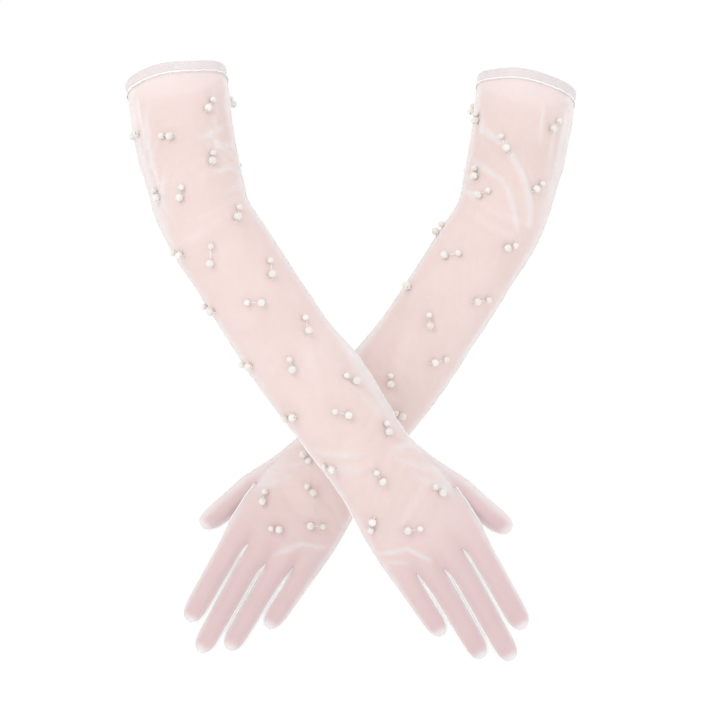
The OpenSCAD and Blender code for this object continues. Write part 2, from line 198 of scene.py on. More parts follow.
ANGLES = np.array([column_angle(c) for c in range(COLUMNS)])
ACROSS_STOPS = sorted([SIDE_ENDS[1], *CROTCHES[::-1], SIDE_ENDS[0]])
PALM_END = [float(np.interp(KNUCKLE_HALF * math.cos(a), *zip(*ACROSS_STOPS))) for a in ANGLES]
RING_STEP = 3.0
HAND_RINGS = 32
HAND_LENGTH = RING_STEP * HAND_RINGS
GROOVE_DEPTH = 0.42     # as a part of the hand's half depth


def groove(c):
    """How close a column is to a crotch between two fingers, from 0 to 1."""
    c = c if c <= HALF else COLUMNS - c
    return max(math.exp(-(((c - k) / 1.9) ** 2)) for k in CROTCH_COLUMNS)


def smooth(t):
    """An eased step from 0 to 1."""
    t = min(max(t, 0.0), 1.0)
    return t * t * (3 - 2 * t)


class Skin:
    """Points, faces, weave coordinates and piece labels of some fabric."""

    def __init__(self):
        self.points, self.faces, self.weave, self.label = [], [], [], []
        self.loose = []     # how far off the skin each point's net hangs, from 0 to 1, also carrying painted rim sheen and painted fold-ridge highlight

    def add(self, point, loose=0.0):
        self.points.append(np.asarray(point, float))
        self.loose.append(loose)
        return len(self.points) - 1

    def row(self, points):
        return [self.add(p) for p in points]

    def face(self, corners, weave, label=0):
        self.faces.append(corners)
        self.weave.append(weave)
        self.label.append(label)

    def quad(self, rows, r, c, weave_at, label=0):
        """A face between two rows, with its corners' weave from weave_at(column, row)."""
        n = (c + 1) % len(rows[r])
        weave = [weave_at(*at) for at in ((c, r), (c, r + 1), (c + 1, r + 1), (c + 1, r))]
        self.face([rows[r][c], rows[r + 1][c], rows[r + 1][n], rows[r][n]], weave, label)


LABELS = ("upper", "lower", *FINGERS, "thumb")
UPPER, LOWER = 0, 1
SPLIT_AT = 190.0        # where the upper piece of tulle ends and the lower one starts
COLUMN_MM = 2.55        # mean width of a column, for the weave


def sleeve_rings():
    """Distances from the cuff of the rings down to the knuckles."""
    count = int(round(WRIST_AT / RING_STEP))
    arm = [WRIST_AT * k / count for k in range(count + 1)]
    return arm + [WRIST_AT + RING_STEP * k for k in range(1, HAND_RINGS + 1)]


RINGS = sleeve_rings()
WRIST_RING = len(RINGS) - 1 - HAND_RINGS
LAST_RING = WRIST_AT + HAND_LENGTH


def sleeve_point(s, c):
    """The fabric's point on one ring and column, before any folds."""
    angle = ANGLES[c % COLUMNS]
    past = s - WRIST_AT
    if past > 0:
        stretch = PALM_END[c % COLUMNS] / HAND_LENGTH - 1
        s = WRIST_AT + past * (1 + (past / HAND_LENGTH) ** 2 * stretch)
    place, down, across, deep = spine(s)
    minus, plus, depth = section_at(s)
    x = (plus if math.cos(angle) > 0 else minus) * math.cos(angle)
    y = depth * math.sin(angle)
    y *= 1 - GROOVE_DEPTH * groove(c % COLUMNS) * smooth((past - 76) / 22)
    return place + x * across + y * deep


CUFF_WAVES = {"right": ((2, 0.5, 0.5), (3, 0.45, 2.1), (5, 0.3, 4.0)),
              "left": ((2, 0.6, 1.7), (3, 0.4, 0.3), (5, 0.3, 2.2))}
WAVES_REACH = 34.0      # how far down from the cuff's edge its waves reach


def cuff_shift(side, s, c, point):
    """How far the loose cuff waves away from its even oval at a place on the sleeve."""
    if s >= WAVES_REACH:
        return np.zeros(3)
    angle = ANGLES[c % COLUMNS]
    wave = sum(size * math.sin(n * angle + start) for n, size, start in CUFF_WAVES[side])
    place, down, _, _ = spine(s)
    outward = unit(point - place)
    return smooth(1 - s / WAVES_REACH) * (wave * outward - 0.8 * wave * down)


# The opening that the thumb is set into: its first and last rings and columns
THUMB_RINGS = (WRIST_RING + 6, WRIST_RING + 18)
THUMB_COLUMNS = (-4, 8)


def rim(angle, reach):
    """1 at a glove's side seams, falling to 0 within this part of its half width."""
    return 1 - smooth((1 - abs(math.cos(angle))) / reach)


def sleeve_loose_and_sheen(s, c):
    """How loosely the sleeve's net hangs at a ring and column, from 0 to 1, with painted rim sheen on the glove's
    sides.
    """
    angle = ANGLES[c % COLUMNS]
    wide = 0.13
    if math.cos(angle) < 0:
        wide += 0.2 * smooth((150 - s) / 60)
    else:
        wide += 0.16 * smooth(1 - abs(s - WRIST_AT + 30) / 70)
    by_thumb = smooth(1 - abs(s - WRIST_AT - 42) / 34) * smooth(1 - abs((c + 42) % COLUMNS - 37) / 4.5)
    # At the glove's sides (rim) the net is painted whiter as a painted rim sheen; by the thumb and at the cuff it
    # is looser net.
    return max(0.75 * rim(angle, wide), 0.9 * by_thumb, 0.25 * smooth(1 - s / 40))


def build_skin():
    """One glove's fabric as a single closed-fingered skin, open at the cuff."""
    skin = Skin()
    grid = [skin.row([sleeve_point(s, c) for c in range(COLUMNS)]) for s in RINGS]
    for s, row in zip(RINGS, grid):
        for c, i in enumerate(row):
            skin.loose[i] = sleeve_loose_and_sheen(s, c)
    hole_rows = range(*THUMB_RINGS)
    hole_columns = {c % COLUMNS for c in range(*THUMB_COLUMNS)}
    for r in range(len(RINGS) - 1):
        for c in range(COLUMNS):
            if r in hole_rows and c in hole_columns:
                continue
            label = UPPER if (RINGS[r] + RINGS[r + 1]) / 2 < SPLIT_AT else LOWER
            skin.quad(grid, r, c, lambda u, v: (u * COLUMN_MM, RINGS[v]), label)
    webs = {}
    for column in CROTCH_COLUMNS:
        palm, back = (skin.points[grid[-1][k]] for k in (column, COLUMNS - column))
        webs[column] = skin.row([
            palm + (back - palm) * k / WEB_SPANS
            + HAND_DIR * 4.5 * math.sin(math.pi * k / WEB_SPANS)
            for k in range(1, WEB_SPANS)])
        for i in webs[column]:
            skin.loose[i] = 0.9
    for number, name in enumerate(FINGERS):
        add_finger(skin, finger_loop(grid[-1], webs, number), name)
    add_thumb(skin, grid)
    return skin, grid


def finger_loop(last, webs, number):
    """The loop of points that a finger starts from, palm side first."""
    first, end = COLUMN_STOPS[number], COLUMN_STOPS[number + 1]
    loop = [last[c] for c in range(first, end + 1)]
    if end in webs:
        loop += webs[end]
    back = range(COLUMNS - end, COLUMNS - first + 1)
    loop += [last[c % COLUMNS] for c in back if c not in (COLUMNS, HALF)]
    if first in webs:
        loop += webs[first][::-1]
    return loop


# Finger stalls: (length past the knuckle joint, width at the knuckle, width near the tip)
STALLS = {
    "index": (76.0, 19.4, 18.0),
    "middle": (87.0, 19.4, 18.0),
    "ring": (75.0, 19.2, 17.6),
    "little": (51.0, 17.9, 16.2),
    "thumb": (61.5, 19.6, 17.5),
}
# Where each stall starts past its joint, and the rows that ease it into the hand
START = {"index": 7.0, "middle": 10.0, "ring": 12.0, "little": 10.5, "thumb": 12.0}
MERGE = {"index": 4, "middle": 4, "ring": 4, "little": 4, "thumb": 6}
FINGER_STEP = 2.7
STALL_ROWS = {}

# The thumb's middle line bows towards the hand: (distance past its joint, shift across)
THUMB_BOW = [(10, -5.0), (26, -4.0), (40, -2.2), (62, 0.4)]


def bow(name, along):
    """How far a stall's middle line is shifted across at a distance past its joint."""
    return float(np.interp(along, *zip(*THUMB_BOW))) if name == "thumb" else 0.0


def stall_size(name, along):
    """Half width and half depth of a stall at a distance past its joint."""
    length, wide, tip = STALLS[name]
    left = max(length - along, 0.0)
    half = np.interp(along, (0, length * 0.8), (wide / 2, tip / 2))
    round_off = (1 - (1 - min(left / 13.0, 1)) ** 2.1) ** (1 / 2.1)
    width = half * (0.14 + 0.86 * round_off)
    depth = 0.9 + (half * 0.98 - 0.9) * smooth(left / 21.0) ** 0.75
    return width, depth


def stall_frame(name):
    """(joint place, down, across, deep) of a finger or the thumb."""
    joint = f"right_{name}_curl"
    tilt = tilt_of(joint)
    down = down_at(tilt, math.radians(-2)) if name == "thumb" else down_at(tilt)
    across = across_at(tilt)
    return joint_place(joint), down, across, np.cross(across, down)


def stall_rows(skin, loop, name, angles):
    """Rows of points from a starting loop down to the tip of a stall."""
    merge, first_along = MERGE[name], START[name]
    place, down, across, deep = stall_frame(name)
    base = np.array([skin.points[i] for i in loop])
    length = STALLS[name][0]
    count = int(round((length - first_along) / FINGER_STEP))
    rows = [loop]
    total = len(loop)
    even = angles[0] + 2 * math.pi * np.arange(total) / total
    for j in range(1, merge + count + 1):
        w = smooth(j / merge)
        if j <= merge:
            along = first_along
            shift = FINGER_STEP * 0.8 * j
        else:
            part = (j - merge) / count
            along = first_along + (length - first_along) * (1 - (1 - part) ** 1.5)
            shift = 0.0
        around = (1 - w) * angles + w * even
        width, depth = stall_size(name, along)
        middle = place + along * down + bow(name, along) * across
        # A stall's sides, and the thumb's outer side, are painted whiter as a painted rim sheen; the tips are net
        # past the fingertips.
        hang_and_sheen = [max(0.9 * rim(a, 0.4), smooth((along - length + 8) / 7)) for a in around]
        if name == "thumb":
            hang_and_sheen = [max(h, 0.9 * rim(a, 0.85) * (math.cos(a) > 0)) for h, a in zip(hang_and_sheen, around)]
        ring = middle[None, :] + np.outer(width * np.cos(around), across) \
            + np.outer(depth * np.sin(around), deep)
        moved = base + shift * down
        rows.append(skin.row((1 - w) * moved + w * ring))
        for i, first, h in zip(rows[-1], loop, hang_and_sheen):
            skin.loose[i] = (1 - w) * skin.loose[first] + w * h
    return rows


def stall_weave(points, start):
    """Weave coordinates of a stall's points from the real distances on the fabric."""
    points = np.array(points)
    total = points.shape[1]
    round_mm = np.linalg.norm(np.roll(points, -1, axis=1) - points, axis=2).sum(axis=1)
    down_mm = np.linalg.norm(np.diff(points, axis=0), axis=2)
    v = start + np.concatenate([np.zeros((1, total)), np.cumsum(down_mm, axis=0)])
    u = np.outer(round_mm, np.arange(total + 1) / total - 0.5)
    return u, np.concatenate([v, v[:, :1]], axis=1)


def stall_faces(skin, rows, name):
    """Faces between a stall's rows; those that ease it into the hand stay with the hand."""
    total = len(rows[0])
    label = LABELS.index(name)
    u, v = stall_weave([[skin.points[i] for i in row] for row in rows], LAST_RING)
    for j in range(len(rows) - 1):
        for k in range(total):
            piece = LOWER if j < MERGE[name] else label
            skin.quad(rows, j, k, lambda b, a: (u[a, b], v[a, b]), piece)
    tip = skin.add(np.mean([skin.points[i] for i in rows[-1]], axis=0))
    for k in range(total):
        n = (k + 1) % total
        weave = [(u[-1, k], v[-1, k]), (u[-1, k], v[-1, k] + 1), (u[-1, k + 1], v[-1, k])]
        skin.face([rows[-1][k], tip, rows[-1][n]], weave, label)


def add_stall(skin, loop, name, angles):
    STALL_ROWS[name] = stall_rows(skin, loop, name, angles)
    stall_faces(skin, STALL_ROWS[name], name)


def add_finger(skin, loop, name):
    """A finger stall from its loop at the knuckles."""
    place, down, across, deep = stall_frame(name)
    base = np.array([skin.points[i] for i in loop]) - place
    angles = np.unwrap(np.arctan2(base @ deep, base @ across))
    add_stall(skin, loop, name, angles)


def add_thumb(skin, grid):
    """The thumb stall, set into the opening at the hand's side."""
    top, bottom = THUMB_RINGS
    left, right = THUMB_COLUMNS
    middle = (left + right) // 2
    path = [(top, c) for c in range(middle, right)]
    path += [(r, right) for r in range(top, bottom)]
    path += [(bottom, c) for c in range(right, left, -1)]
    path += [(r, left) for r in range(bottom, top, -1)]
    path += [(top, c) for c in range(left, middle)]
    loop = [grid[r][c % COLUMNS] for r, c in path]
    add_stall(skin, loop, "thumb", 2 * math.pi * np.arange(len(loop)) / len(loop))


# ---- folds in the fabric

# Soft folds on the sleeve and hand of each glove:
# (distance from cuff, angle) at both ends, half width in mm, height in mm
FOLDS = {
    "right": [
        (50, 330, 62, 288, 2.2, 2.4), (63, 345, 70, 300, 2.4, 2.6), (66, 306, 78, 350, 2.2, 2),
        (80, 345, 88, 296, 2.4, 2.2), (54, 300, 84, 322, 2, 1.4), (94, 356, 104, 318, 3, 2.2),
        (18, 219, 110, 227, 2.2, 2.4), (24, 232, 66, 226, 2, 1.6), (55, 238, 76, 214, 2.2, 2),
        (78, 240, 104, 216, 2.2, 1.8), (30, 206, 100, 208, 2.6, 2), (100, 204, 136, 216, 2.6, 1.8),
        (34, 318, 78, 306, 2.2, 1.2), (232, 344, 306, 352, 5.5, 5.5),
        (250, 326, 312, 338, 2.6, 2.6), (270, 304, 318, 328, 2.4, 1.8),
        (300, 208, 322, 270, 2.4, 2), (314, 214, 332, 256, 2.2, 1.8),
        (330, 300, 340, 350, 2.4, 2.2), (180, 196, 240, 206, 3, 2.2),
        (H + 10, 296, H + 34, 322, 2.2, 1.8), (H + 30, 300, H + 62, 330, 2.2, 2),
        (H + 44, 318, H + 66, 342, 2.2, 1.8), (H + 66, 205, H + 77, 251, 2.2, 2.6),
        (H + 76, 247, H + 98, 266, 2.2, 2.6), (H + 76, 208, H + 88, 238, 1.8, 2),
        (104, 40, 118, 140, 4.5, 3), (92, 30, 104, 120, 4, 2.6), (300, 40, 318, 140, 4, 2.8),
        (H + 40, 50, H + 60, 120, 3.4, 2.2), (30, 60, 80, 90, 3.2, 1.8), (210, 60, 270, 100, 4, 2),
    ],
    "left": [
        (48, 326, 63, 284, 2.6, 3), (61, 286, 86, 254, 2.6, 3.2), (85, 255, 110, 229, 2.6, 3),
        (72, 335, 90, 282, 2.2, 2.2), (88, 284, 116, 244, 2.2, 2), (96, 352, 106, 306, 3.4, 3),
        (84, 350, 90, 322, 2.2, 2), (20, 214, 92, 210, 2.4, 2.2), (26, 232, 78, 224, 2.2, 1.8),
        (34, 330, 62, 318, 2.4, 1.8), (24, 250, 56, 244, 2, 1.3), (232, 344, 300, 352, 5, 5),
        (262, 318, 314, 336, 2.6, 2.4), (298, 212, 324, 270, 2.4, 2),
        (312, 220, 334, 258, 2.2, 1.8), (170, 204, 236, 200, 3, 2.2),
        (H + 12, 294, H + 36, 320, 2.2, 1.8), (H + 30, 300, H + 64, 328, 2.2, 2),
        (H + 46, 316, H + 64, 344, 2.2, 1.8), (H + 66, 206, H + 76, 250, 2.2, 2.4),
        (H + 75, 246, H + 96, 268, 2.2, 2.4), (102, 30, 114, 130, 4.5, 3),
        (88, 50, 100, 140, 4, 2.6), (302, 50, 316, 150, 4, 2.8),
        (H + 40, 60, H + 58, 130, 3.4, 2.2), (210, 70, 280, 110, 4, 2),
    ],
}
DEGREE_MM = 0.58        # the distance round the sleeve that a degree stands for
FOLD_LOOSE_AND_HIGHLIGHT = 0.55       # how much looser and whiter the net is for each millimetre of a fold's height: partly net lifted off the skin, partly painted highlight on the fold's ridge


def fold_height(side, s, angle):
    """How far the folds lift the fabric at a place on the sleeve."""
    height = 0.0
    for s0, a0, s1, a1, half, rise in FOLDS[side]:
        dx, dy = (a1 - a0) * DEGREE_MM, s1 - s0
        ax, ay = (angle - a0) * DEGREE_MM, s - s0
        t = min(max((ax * dx + ay * dy) / (dx * dx + dy * dy), 0.0), 1.0)
        far = math.hypot(ax - t * dx, ay - t * dy) / half
        if far < 2.4:
            fade = math.sin(math.pi * (0.12 + 0.76 * t))
            height += rise * fade * (math.exp(-far * far) - 0.35 * math.exp(-((far - 1.5) ** 2) * 3))
    return height


DRAPE_FRAMES = 9
DRAPE_OUT = 1.5         # the furthest the drape may move the tulle, in millimetres
DRAPE_IN = 0.9
DRAPE_SLIDE = 0.8
DRAPE_ENDS = (H + 45, H + 80)       # it fades out between these, above the fingers
TULLE_CLOTH = {"quality": 3, "mass": 0.06, "tension_stiffness": 12, "compression_stiffness": 12,
               "shear_stiffness": 6, "bending_stiffness": 0.03, "shrink_min": -0.035}


def drape_share(grid, count):
    """How much of the drape's movement each point keeps: none on the thumb and fingers."""
    share = np.zeros(count)
    first, last = DRAPE_ENDS
    for s, row in zip(RINGS, grid):
        share[row] = smooth((last - s) / (last - first)) * smooth((s - HEM_DEPTH) / 10)
    return share[:, None]


def add_object(name, data):
    """A new object in the scene, with this mesh, camera or light."""
    ob = bpy.data.objects.new(name, data)
    bpy.context.scene.collection.objects.link(ob)
    return ob


def mesh_object(name, points, faces):
    """A smooth mesh object from points in metres."""
    mesh = bpy.data.meshes.new(name)
    mesh.from_pydata([tuple(p) for p in points], [], faces)
    mesh.update()
    mesh.polygons.foreach_set("use_smooth", [True] * len(mesh.polygons))
    return add_object(name, mesh)


def vertex_rows(mesh, what):
    """The places ("co") or the normals ("normal") of a mesh's points, a row for each."""
    values = np.empty(len(mesh.vertices) * 3)
    mesh.vertices.foreach_get(what, values)
    return values.reshape(-1, 3)


def set_weave(ob, weave):
    """Gives a mesh its weave coordinates: for each face, a pair for each corner."""
    layer = ob.data.uv_layers.new(name="weave")
    layer.data.foreach_set("uv", np.array([x for f in weave for p in f for x in p], np.float32))


def set_loose_and_sheen(ob, values):
    """Gives a mesh's points how far off the skin their net hangs, from 0 to 1, with the painted rim sheen and
    ridge highlights in it.
    """
    ob.data.attributes.new("loose", "FLOAT", "POINT").data.foreach_set("value", values)


def flipped(lists, flip):
    """The same lists, each the other way round if flip is true."""
    return [x[::-1] for x in lists] if flip else lists


def make_fabric(side):
    """The whole glove's fabric for one side, folded, labelled and with its weave."""
    skin, grid = build_skin()
    points = np.array(skin.points)
    ob = mesh_object(f"{side}_whole", points * MM, skin.faces)
    normals = vertex_rows(ob.data, "normal")
    bpy.data.objects.remove(ob)
    outward = np.zeros(len(points))
    for r, s in enumerate(RINGS):
        if s < HEM_DEPTH:
            continue
        ease = smooth((s - HEM_DEPTH) / 10) * smooth((LAST_RING - s) / 10)
        for c in range(COLUMNS):
            outward[grid[r][c]] = ease * fold_height(side, s, math.degrees(ANGLES[c]))
    ring = points[grid[5]]
    out_sign = np.sign(np.mean(np.einsum("ij,ij->i", normals[grid[5]], ring - ring.mean(axis=0))))
    points = points + normals * out_sign * outward[:, None]
    # Fold ridges whiten the net through this value: partly net lifted off the skin, partly a painted highlight on
    # each ridge.
    loose = np.clip(np.array(skin.loose) + FOLD_LOOSE_AND_HIGHLIGHT * np.maximum(outward - 0.3, 0), 0, 1)
    for r, s in enumerate(RINGS):
        if s < WAVES_REACH:
            for c in range(COLUMNS):
                points[grid[r][c]] += cuff_shift(side, s, c, points[grid[r][c]])
    flip = (side == "left") != (out_sign < 0)
    ob = mesh_object(f"{side}_whole", to_side(points, side), flipped(skin.faces, flip))
    set_weave(ob, flipped(skin.weave, flip))
    set_loose_and_sheen(ob, loose)
    ob.data.polygons.foreach_set("material_index", skin.label)
    for _ in LABELS:
        ob.data.materials.append(None)
    return ob, grid


def relax(ob, rounds, keep):
    """Smooths the fabric a little; points in `keep` stay where they are."""
    mesh = ob.data
    co = vertex_rows(mesh, "co")
    edges = np.array([e.vertices[:] for e in mesh.edges])
    count = np.maximum(np.bincount(edges.ravel(), minlength=len(co)), 1)[:, None]
    for _ in range(rounds):
        total = np.zeros_like(co)
        np.add.at(total, edges[:, 0], co[edges[:, 1]])
        np.add.at(total, edges[:, 1], co[edges[:, 0]])
        moved = co + 0.5 * (total / count - co)
        moved[keep] = co[keep]
        co = moved
    mesh.vertices.foreach_set("co", co.ravel())
    mesh.update()


def drape(ob, grid, pinned):
    """Lets the sleeve settle loosely over an arm just inside it, with its cuff held."""
    mesh = ob.data
    start = vertex_rows(mesh, "co")
    normals = vertex_rows(mesh, "normal")
    arm = mesh_object("arm", start - normals * 2.0 * MM, [p.vertices[:] for p in mesh.polygons])
    arm.modifiers.new("arm", "COLLISION")
    arm.collision.thickness_outer = 0.0006
    arm.collision.cloth_friction = 12
    ob.vertex_groups.new(name="held").add(pinned, 1.0, "REPLACE")
    cloth = ob.modifiers.new("drape", "CLOTH")
    for key, value in TULLE_CLOTH.items():
        setattr(cloth.settings, key, value)
    cloth.settings.vertex_group_mass = "held"
    cloth.collision_settings.distance_min = 0.0006
    cloth.collision_settings.use_self_collision = False
    cloth.point_cache.frame_start, cloth.point_cache.frame_end = 1, DRAPE_FRAMES
    for number in range(1, DRAPE_FRAMES + 1):
        bpy.context.scene.frame_set(number)
    graph = bpy.context.evaluated_depsgraph_get()
    moved = vertex_rows(ob.evaluated_get(graph).data, "co") - start
    far = np.einsum("ij,ij->i", moved, normals)[:, None]
    capped = np.clip(far, -DRAPE_IN * MM, DRAPE_OUT * MM)
    moved = moved + (capped - far) * normals
    along = moved - capped * normals
    size = np.linalg.norm(along, axis=1)[:, None]
    along *= np.minimum(1, DRAPE_SLIDE * MM / np.maximum(size, 1e-9))
    settled = start + drape_share(grid, len(start)) * (capped * normals + along)
    mesh.vertices.foreach_set("co", settled.ravel())
    ob.modifiers.clear()
    ob.vertex_groups.clear()
    bpy.data.objects.remove(arm)
    bpy.context.scene.frame_set(1)
    mesh.update()


def make_finer(ob):
    """Subdivides the fabric once."""
    ob.modifiers.new("finer", "SUBSURF").levels = 1
    graph = bpy.context.evaluated_depsgraph_get()
    mesh = bpy.data.meshes.new_from_object(ob.evaluated_get(graph), depsgraph=graph)
    ob.modifiers.clear()
    old, ob.data = ob.data, mesh
    bpy.data.meshes.remove(old)


# ---- materials


class Nodes:
    """A short way to write a node material."""

    def __init__(self, name):
        self.material = bpy.data.materials.new(name)
        self.material.use_nodes = True
        self.tree = self.material.node_tree
        self.shader = self.tree.nodes["Principled BSDF"]

    def node(self, kind, **settings):
        n = self.tree.nodes.new(kind)
        for key, value in settings.items():
            setattr(n, key, value)
        return n

    def link(self, a, b):
        self.tree.links.new(a, b)

    def feed(self, name, value):
        """Links a value to one of the shader's inputs."""
        self.link(value, self.shader.inputs[name])

    def math(self, operation, a, b=0.0, c=0.0):
        n = self.node("ShaderNodeMath", operation=operation)
        for socket, value in zip(n.inputs, (a, b, c)):
            if isinstance(value, (int, float)):
                socket.default_value = value
            else:
                self.link(value, socket)
        return n.outputs[0]

    def ramp(self, value, low, high, to_low=0.0, to_high=1.0):
        n = self.node("ShaderNodeMapRange", interpolation_type="SMOOTHSTEP")
        for socket, x in zip(n.inputs[1:5], (low, high, to_low, to_high)):
            socket.default_value = x
        self.link(value, n.inputs[0])
        return n.outputs[0]

    def mix(self, factor, a, b):
        n = self.node("ShaderNodeMix", data_type="RGBA")
        self.link(factor, n.inputs["Factor"])
        for socket, value in ((n.inputs[6], a), (n.inputs[7], b)):
            if isinstance(value, tuple):
                socket.default_value = (*value, 1.0)
            else:
                self.link(value, socket)
        return n.outputs[2]

    def place(self):
        return self.node("ShaderNodeTexCoord").outputs["Object"]

    def noise(self, vector, scale, detail=2.0):
        n = self.node("ShaderNodeTexNoise")
        n.inputs["Scale"].default_value = scale
        n.inputs["Detail"].default_value = detail
        self.link(vector, n.inputs["Vector"])
        return n.outputs["Fac"]

    def bump(self, height, strength, distance):
        n = self.node("ShaderNodeBump")
        n.inputs["Strength"].default_value = strength
        n.inputs["Distance"].default_value = distance
        self.link(height, n.inputs["Height"])
        self.feed("Normal", n.outputs["Normal"])

    def set(self, **values):
        """Sets the shader's inputs, named with _ for a space; a colour has three parts."""
        for key, value in values.items():
            colour = isinstance(value, tuple)
            self.shader.inputs[key.replace("_", " ")].default_value = (*value, 1) if colour else value


NET_PITCH = 0.95        # distance between the net's holes, in millimetres


def net_material(name, dark, light, least, most, over_skin):
    """Sheer hexagonal net: its colours, and how much it hides between and on threads."""
    m = Nodes(name)
    weave = m.node("ShaderNodeUVMap", uv_map="weave").outputs["UV"]
    waves = []
    k = 4 * math.pi / (math.sqrt(3) * NET_PITCH)
    for turn in (0, math.pi / 3, 2 * math.pi / 3):
        dot = m.node("ShaderNodeVectorMath", operation="DOT_PRODUCT")
        m.link(weave, dot.inputs[0])
        dot.inputs[1].default_value = (k * math.cos(turn), k * math.sin(turn), 0)
        waves.append(m.math("COSINE", dot.outputs["Value"]))
    total = m.math("ADD", m.math("ADD", waves[0], waves[1]), waves[2])
    thread = m.ramp(total, 0.4, -0.9)
    place = m.place()
    cloudy = m.noise(place, 22.0)
    fibre = m.noise(weave, 2.2)
    wisps = m.noise(place, 140.0, 3.0)
    # The loose value whitens the net and lets more through: partly net off the skin, partly painted rim sheen and
    # painted highlight on fold ridges.
    hang_and_sheen = m.node("ShaderNodeAttribute", attribute_name="loose").outputs["Fac"]
    hang_and_sheen = m.math("MULTIPLY", hang_and_sheen, m.ramp(wisps, 0.3, 0.7, 0.8, 1.1))
    hang_and_sheen = m.math("MINIMUM", hang_and_sheen, 1.0)
    cover = m.math("MULTIPLY_ADD", thread, most - least, least)
    cover = m.math("MULTIPLY_ADD", hang_and_sheen, -0.22, cover)
    parts = m.node("ShaderNodeSeparateXYZ")
    m.link(weave, parts.inputs[0])
    down = parts.outputs["Y"]
    tone = m.mix(m.ramp(cloudy, 0.3, 0.7), dark, light)
    if over_skin:
        cover = m.math("ADD", cover, m.ramp(down, 62.0, 26.0, 0.0, 0.16))
        tone = m.mix(m.ramp(down, 130.0, 20.0, 0.0, 0.75), tone, ARM_TONE)
        tone = m.mix(m.ramp(down, LAST_RING - 100, LAST_RING + 60, 0.0, 0.9), tone, HAND_TONE)
    m.feed("Alpha", m.math("MINIMUM", cover, 0.98))
    # Painted rim sheen and painted fold-ridge highlight, with net off the skin: whiter where the loose value is
    # high.
    tone = m.mix(hang_and_sheen, tone, LOOSE_NET_AND_SHEEN_TONE)
    tone = m.mix(m.math("MULTIPLY", thread, 0.12), tone, (0.93, 0.90, 0.895))
    m.feed("Base Color", tone)
    m.feed("Roughness", m.ramp(fibre, 0.2, 0.8, 0.62, 0.85))
    m.bump(thread, 0.12, 0.0002)
    m.set(Sheen_Weight=0.5, Sheen_Roughness=0.3, Sheen_Tint=(1.0, 0.99, 0.99), Specular_IOR_Level=0.25)
    return m.material


def thread_material():
    """White sewing thread with its twist."""
    m = Nodes("white_thread")
    place = m.place()
    wave = m.node("ShaderNodeTexWave", bands_direction="DIAGONAL")
    wave.inputs["Scale"].default_value = 900.0
    wave.inputs["Distortion"].default_value = 1.5
    m.link(place, wave.inputs["Vector"])
    tone = m.mix(wave.outputs["Fac"], (0.94, 0.925, 0.925), (0.99, 0.985, 0.985))
    m.feed("Base Color", tone)
    m.feed("Roughness", m.ramp(wave.outputs["Fac"], 0.0, 1.0, 0.7, 0.5))
    m.bump(wave.outputs["Fac"], 0.4, 0.0001)
    m.set(Sheen_Weight=0.5, Specular_IOR_Level=0.3)
    return m.material


def pearl_material():
    """Imitation pearl: an ivory body under a clear pearly coat."""
    m = Nodes("pearl")
    place = m.place()
    cloudy = m.noise(place, 160.0, 3.0)
    grain = m.noise(place, 1400.0)
    tone = m.mix(m.ramp(cloudy, 0.3, 0.7), (0.71, 0.67, 0.63), (0.81, 0.775, 0.74))
    m.feed("Base Color", tone)
    m.feed("Roughness", m.ramp(cloudy, 0.3, 0.7, 0.2, 0.32))
    m.bump(grain, 0.05, 0.0001)
    m.set(Coat_Weight=0.7, Coat_Roughness=0.12, Specular_IOR_Level=0.6)
    m.set(Sheen_Weight=0.25, Sheen_Tint=(0.95, 0.93, 1.0))
    return m.material


# The blush stands for skin seen through the net: on the upper arm and on the fingers
ARM_TONE = (0.715, 0.575, 0.545)
HAND_TONE = (0.67, 0.485, 0.495)
# The whiter tone of net off the skin, also laid on as painted rim sheen and painted highlight on fold ridges.
LOOSE_NET_AND_SHEEN_TONE = (0.90, 0.865, 0.87)
TULLE = net_material("tulle", (0.775, 0.62, 0.59), (0.81, 0.66, 0.63), 0.74, 0.94, True)
HEM_NET = net_material("hem_net", (0.84, 0.795, 0.80), (0.88, 0.845, 0.85), 0.45, 0.75, False)
THREAD = thread_material()
PEARL = pearl_material()


# ---- pieces of fabric


def split_pieces(whole, side):
    """The glove's fabric cut into one piece for each label, with the whole's shading.

    A stall is also open along the line where its weave begins, so that its mesh is the
    flat cut rolled up and sewn: the two edges meet.
    """
    mesh = whole.data
    mesh.update()
    co = vertex_rows(mesh, "co")
    normals = vertex_rows(mesh, "normal")
    uv = np.empty(len(mesh.loops) * 2, np.float32)
    mesh.uv_layers["weave"].data.foreach_get("uv", uv)
    uv = uv.reshape(-1, 2)
    loose = np.empty(len(co), np.float32)
    mesh.attributes["loose"].data.foreach_get("value", loose)
    pieces = {}
    for number, label in enumerate(LABELS):
        stall = number > LOWER
        faces = [p for p in mesh.polygons if p.material_index == number]
        corners = [[(v, bool(stall and uv[k, 0] > 1)) for v, k in zip(p.vertices, p.loop_indices)]
                   for p in faces]
        points = sorted({c for face in corners for c in face})
        new = {c: k for k, c in enumerate(points)}
        used = [v for v, _ in points]
        name = f"{side}_{label}_stall_tulle" if stall else f"{side}_{label}_tulle"
        ob = mesh_object(name, co[used], [[new[c] for c in face] for face in corners])
        set_weave(ob, [uv[list(p.loop_indices)] for p in faces])
        set_loose_and_sheen(ob, loose[used])
        ob.data.normals_split_custom_set_from_vertices([tuple(n) for n in normals[used]])
        ob.data.materials.append(TULLE)
        pieces[label] = ob
    return pieces


def fasten(ob, side, before, after, start, end):
    """Puts the two given ends on the glove's side and bakes the piece's transform into its points."""
    start, end = (tuple(to_side(p, side)) for p in (start, end))
    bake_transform(ob)


ELBOW_REACH = 42.0
WRIST_REACH = 30.0
KNUCKLE_REACH = 14.0


def tie(ob, side, over, nodes):
    """Runs a piece's placing step (on_upper ties it to the upper arm's body) and hides the CAD nodes it stands
    for.
    """
    over(ob, side)
    if nodes:
        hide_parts(*(f"{side}_{node}" for node in nodes))


